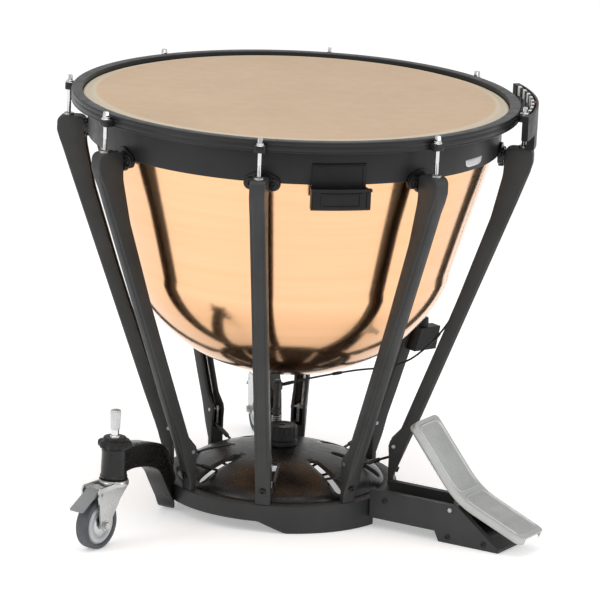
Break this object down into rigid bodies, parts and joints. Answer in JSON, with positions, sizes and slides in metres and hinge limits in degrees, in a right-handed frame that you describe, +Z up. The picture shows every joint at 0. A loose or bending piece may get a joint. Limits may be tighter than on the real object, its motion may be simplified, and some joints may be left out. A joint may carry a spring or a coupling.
{
  "type": "timpani drum",
  "caption": "Pedal timpano: copper bowl with a stretched head and hoop, leaning struts on a cast base, foot pedal, tuning gauge and swivel casters.",
  "frame": {"origin": "middle of the whole part's box, on the floor", "axes": "+Z up; the pedal and the player are at -Y; +X is the player's right as they face the drum from -Y"},
  "size_m": [1.0495, 1.0309, 0.845],
  "materials": {
    "black_casting": "black gloss enamel on cast aluminium",
    "strut_paint": "charcoal powder coat, fine texture, on cast aluminium",
    "hoop_paint": "satin black powder coat",
    "chrome": "polished",
    "zinc": "bright zinc plate",
    "steel": "plain",
    "copper": "polished and lacquered copper",
    "aluminium": "cast, satin",
    "head_film": "calf-coloured translucent polyester film",
    "black_plastic": "moulded",
    "red_plastic": "moulded",
    "grey_plastic": "moulded",
    "tyre_rubber": "grey non-marking",
    "cable_sheath": "black sheath"
  },
  "bodies": {
    "stand": {"base_casting": "black_casting", "caster_arm_left": "black_casting", "caster_arm_right": "black_casting", "pedal_channel": "black_casting", "bearing_ring": "hoop_paint", "bowl": "copper", "drum_head": "head_film", "gauge_housing": "black_plastic", "gauge_cable": "cable_sheath", "carry_handle": "black_plastic", "adjuster_box": "black_plastic", "strut_1": "strut_paint", "strut_2": "strut_paint", "strut_3": "strut_paint", "strut_4": "strut_paint", "strut_5": "strut_paint", "strut_6": "strut_paint", "strut_7": "strut_paint", "strut_8": "strut_paint"},
    "hoop_and_rods": {"counter_hoop": "hoop_paint", "tension_rod_1": "chrome", "tension_rod_2": "chrome", "tension_rod_3": "chrome", "tension_rod_4": "chrome", "tension_rod_5": "chrome", "tension_rod_6": "chrome", "tension_rod_7": "chrome", "tension_rod_8": "chrome"},
    "crosshead": {"crosshead": "steel"},
    "rocker": {"rocker": "steel"},
    "pedal": {"pedal": "aluminium"},
    "pedal_rod": {"pedal_rod": "steel"},
    "pointer": {"gauge_pointer": "red_plastic"},
    "tension_knob": {"tension_knob": "black_plastic"},
    "bell_crank_1": {"bell_crank_1": "steel"},
    "link_rod_1": {"link_rod_1": "black_casting"},
    "bell_crank_2": {"bell_crank_2": "steel"},
    "link_rod_2": {"link_rod_2": "black_casting"},
    "bell_crank_3": {"bell_crank_3": "steel"},
    "link_rod_3": {"link_rod_3": "black_casting"},
    "bell_crank_4": {"bell_crank_4": "steel"},
    "link_rod_4": {"link_rod_4": "black_casting"},
    "bell_crank_5": {"bell_crank_5": "steel"},
    "link_rod_5": {"link_rod_5": "black_casting"},
    "bell_crank_6": {"bell_crank_6": "steel"},
    "link_rod_6": {"link_rod_6": "black_casting"},
    "bell_crank_7": {"bell_crank_7": "steel"},
    "link_rod_7": {"link_rod_7": "black_casting"},
    "bell_crank_8": {"bell_crank_8": "steel"},
    "link_rod_8": {"link_rod_8": "black_casting"},
    "left_handwheel": {"caster_left_handwheel": "black_plastic"},
    "left_stem": {"caster_left_stem": "chrome"},
    "left_fork": {"caster_left_fork": "zinc"},
    "left_wheel": {"caster_left_wheel": "tyre_rubber"},
    "left_brake": {"caster_left_brake": "grey_plastic"},
    "right_handwheel": {"caster_right_handwheel": "black_plastic"},
    "right_stem": {"caster_right_stem": "chrome"},
    "right_fork": {"caster_right_fork": "zinc"},
    "right_wheel": {"caster_right_wheel": "tyre_rubber"},
    "right_brake": {"caster_right_brake": "grey_plastic"}
  },
  "joints": [
    {"name": "pedal_hinge", "type": "hinge", "parent": "stand", "child": "pedal", "pos_m": [0.05112, -0.34945, 0.068], "axis": [-1, 0, 0], "range_deg": [0, 24]},
    {"name": "pedal_rod_pull", "type": "slide", "parent": "stand", "child": "pedal_rod", "axis": [0, -1, 0], "range_m": [0, 0.014]},
    {"name": "rocker_turn", "type": "hinge", "parent": "stand", "child": "rocker", "pos_m": [0.05112, -0.00645, 0.062], "axis": [-1, 0, 0], "range_deg": [0, 30]},
    {"name": "crosshead_drop", "type": "slide", "parent": "stand", "child": "crosshead", "axis": [0, 0, -1], "range_m": [0, 0.0235]},
    {"name": "hoop_pull", "type": "slide", "parent": "stand", "child": "hoop_and_rods", "axis": [0, 0, -1], "range_m": [0, 0.0062]},
    {"name": "pointer_turn", "type": "hinge", "parent": "stand", "child": "pointer", "pos_m": [0.05112, 0.06855, 0.83], "axis": [0, 0, 1], "range_deg": [0, 13]},
    {"name": "bell_crank_turn_1", "type": "hinge", "parent": "stand", "child": "bell_crank_1", "pos_m": [0.26269, 0.15618, 0.136], "axis": [-0.3827, 0.9239, 0], "range_deg": [0, 30.5]},
    {"name": "link_rod_turn_1", "type": "hinge", "parent": "crosshead", "child": "link_rod_1", "pos_m": [0.09731, 0.08768, 0.045], "axis": [0.3827, -0.9239, 0], "range_deg": [0, 9.2]},
    {"name": "bell_crank_turn_2", "type": "hinge", "parent": "stand", "child": "bell_crank_2", "pos_m": [0.13875, 0.28012, 0.136], "axis": [-0.9239, 0.3827, 0], "range_deg": [0, 30.5]},
    {"name": "link_rod_turn_2", "type": "hinge", "parent": "crosshead", "child": "link_rod_2", "pos_m": [0.07025, 0.11474, 0.045], "axis": [0.9239, -0.3827, 0], "range_deg": [0, 9.2]},
    {"name": "bell_crank_turn_3", "type": "hinge", "parent": "stand", "child": "bell_crank_3", "pos_m": [-0.03651, 0.28012, 0.136], "axis": [-0.9239, -0.3827, 0], "range_deg": [0, 30.5]},
    {"name": "link_rod_turn_3", "type": "hinge", "parent": "crosshead", "child": "link_rod_3", "pos_m": [0.03199, 0.11474, 0.045], "axis": [0.9239, 0.3827, 0], "range_deg": [0, 9.2]},
    {"name": "bell_crank_turn_4", "type": "hinge", "parent": "stand", "child": "bell_crank_4", "pos_m": [-0.16045, 0.15618, 0.136], "axis": [-0.3827, -0.9239, 0], "range_deg": [0, 30.5]},
    {"name": "link_rod_turn_4", "type": "hinge", "parent": "crosshead", "child": "link_rod_4", "pos_m": [0.00493, 0.08768, 0.045], "axis": [0.3827, 0.9239, 0], "range_deg": [0, 9.2]},
    {"name": "bell_crank_turn_5", "type": "hinge", "parent": "stand", "child": "bell_crank_5", "pos_m": [-0.16045, -0.01909, 0.136], "axis": [0.3827, -0.9239, 0], "range_deg": [0, 30.5]},
    {"name": "link_rod_turn_5", "type": "hinge", "parent": "crosshead", "child": "link_rod_5", "pos_m": [0.00493, 0.04942, 0.045], "axis": [-0.3827, 0.9239, 0], "range_deg": [0, 9.2]},
    {"name": "bell_crank_turn_6", "type": "hinge", "parent": "stand", "child": "bell_crank_6", "pos_m": [-0.03651, -0.14302, 0.136], "axis": [0.9239, -0.3827, 0], "range_deg": [0, 30.5]},
    {"name": "link_rod_turn_6", "type": "hinge", "parent": "crosshead", "child": "link_rod_6", "pos_m": [0.03199, 0.02236, 0.045], "axis": [-0.9239, 0.3827, 0], "range_deg": [0, 9.2]},
    {"name": "bell_crank_turn_7", "type": "hinge", "parent": "stand", "child": "bell_crank_7", "pos_m": [0.13875, -0.14302, 0.136], "axis": [0.9239, 0.3827, 0], "range_deg": [0, 30.5]},
    {"name": "link_rod_turn_7", "type": "hinge", "parent": "crosshead", "child": "link_rod_7", "pos_m": [0.07025, 0.02236, 0.045], "axis": [-0.9239, -0.3827, 0], "range_deg": [0, 9.2]},
    {"name": "bell_crank_turn_8", "type": "hinge", "parent": "stand", "child": "bell_crank_8", "pos_m": [0.26269, -0.01909, 0.136], "axis": [0.3827, 0.9239, 0], "range_deg": [0, 30.5]},
    {"name": "link_rod_turn_8", "type": "hinge", "parent": "crosshead", "child": "link_rod_8", "pos_m": [0.09731, 0.04942, 0.045], "axis": [-0.3827, -0.9239, 0], "range_deg": [0, 9.2]},
    {"name": "tension_knob_turn", "type": "hinge", "parent": "stand", "child": "tension_knob", "pos_m": [0.05112, 0.06855, 0.14], "axis": [0, 0, 1], "continuous": true},
    {"name": "left_handwheel_turn", "type": "hinge", "parent": "stand", "child": "left_handwheel", "pos_m": [-0.40788, 0.17355, 0.205], "axis": [0, 0, 1], "range_deg": [-90, 90]},
    {"name": "left_stem_height", "type": "slide", "parent": "stand", "child": "left_stem", "axis": [0, 0, -1], "range_m": [0, 0.03]},
    {"name": "left_swivel", "type": "hinge", "parent": "left_stem", "child": "left_fork", "pos_m": [-0.40788, 0.17355, 0.125], "axis": [0, 0, 1], "continuous": true},
    {"name": "left_wheel_roll", "type": "hinge", "parent": "left_fork", "child": "left_wheel", "pos_m": [-0.45769, 0.17791, 0.05], "axis": [-0.0872, -0.9962, 0], "continuous": true},
    {"name": "left_brake_press", "type": "hinge", "parent": "left_fork", "child": "left_brake", "pos_m": [-0.47064, 0.17904, 0.113], "axis": [-0.0872, -0.9962, 0], "range_deg": [0, 18]},
    {"name": "right_handwheel_turn", "type": "hinge", "parent": "stand", "child": "right_handwheel", "pos_m": [0.43212, 0.33655, 0.205], "axis": [0, 0, 1], "range_deg": [-90, 90]},
    {"name": "right_stem_height", "type": "slide", "parent": "stand", "child": "right_stem", "axis": [0, 0, -1], "range_m": [0, 0.03]},
    {"name": "right_swivel", "type": "hinge", "parent": "right_stem", "child": "right_fork", "pos_m": [0.43212, 0.33655, 0.125], "axis": [0, 0, 1], "continuous": true},
    {"name": "right_wheel_roll", "type": "hinge", "parent": "right_fork", "child": "right_wheel", "pos_m": [0.46747, 0.3719, 0.05], "axis": [-0.7071, 0.7071, 0], "continuous": true},
    {"name": "right_brake_press", "type": "hinge", "parent": "right_fork", "child": "right_brake", "pos_m": [0.47667, 0.3811, 0.113], "axis": [-0.7071, 0.7071, 0], "range_deg": [0, 18]}
  ],
  "couplings": [
    {"joint": "pedal_rod_pull", "follows": "pedal_hinge", "m_per_rad": 0.032945},
    {"joint": "rocker_turn", "follows": "pedal_hinge", "ratio": 1.2292},
    {"joint": "crosshead_drop", "follows": "pedal_hinge", "m_per_rad": 0.054908},
    {"joint": "hoop_pull", "follows": "pedal_hinge", "m_per_rad": 0.014324},
    {"joint": "pointer_turn", "follows": "pedal_hinge", "ratio": 0.5},
    {"joint": "bell_crank_turn_1", "follows": "pedal_hinge", "ratio": 1.25},
    {"joint": "link_rod_turn_1", "follows": "pedal_hinge", "ratio": 0.36667},
    {"joint": "bell_crank_turn_2", "follows": "pedal_hinge", "ratio": 1.25},
    {"joint": "link_rod_turn_2", "follows": "pedal_hinge", "ratio": 0.36667},
    {"joint": "bell_crank_turn_3", "follows": "pedal_hinge", "ratio": 1.25},
    {"joint": "link_rod_turn_3", "follows": "pedal_hinge", "ratio": 0.36667},
    {"joint": "bell_crank_turn_4", "follows": "pedal_hinge", "ratio": 1.25},
    {"joint": "link_rod_turn_4", "follows": "pedal_hinge", "ratio": 0.36667},
    {"joint": "bell_crank_turn_5", "follows": "pedal_hinge", "ratio": 1.25},
    {"joint": "link_rod_turn_5", "follows": "pedal_hinge", "ratio": 0.36667},
    {"joint": "bell_crank_turn_6", "follows": "pedal_hinge", "ratio": 1.25},
    {"joint": "link_rod_turn_6", "follows": "pedal_hinge", "ratio": 0.36667},
    {"joint": "bell_crank_turn_7", "follows": "pedal_hinge", "ratio": 1.25},
    {"joint": "link_rod_turn_7", "follows": "pedal_hinge", "ratio": 0.36667},
    {"joint": "bell_crank_turn_8", "follows": "pedal_hinge", "ratio": 1.25},
    {"joint": "link_rod_turn_8", "follows": "pedal_hinge", "ratio": 0.36667}
  ]
}
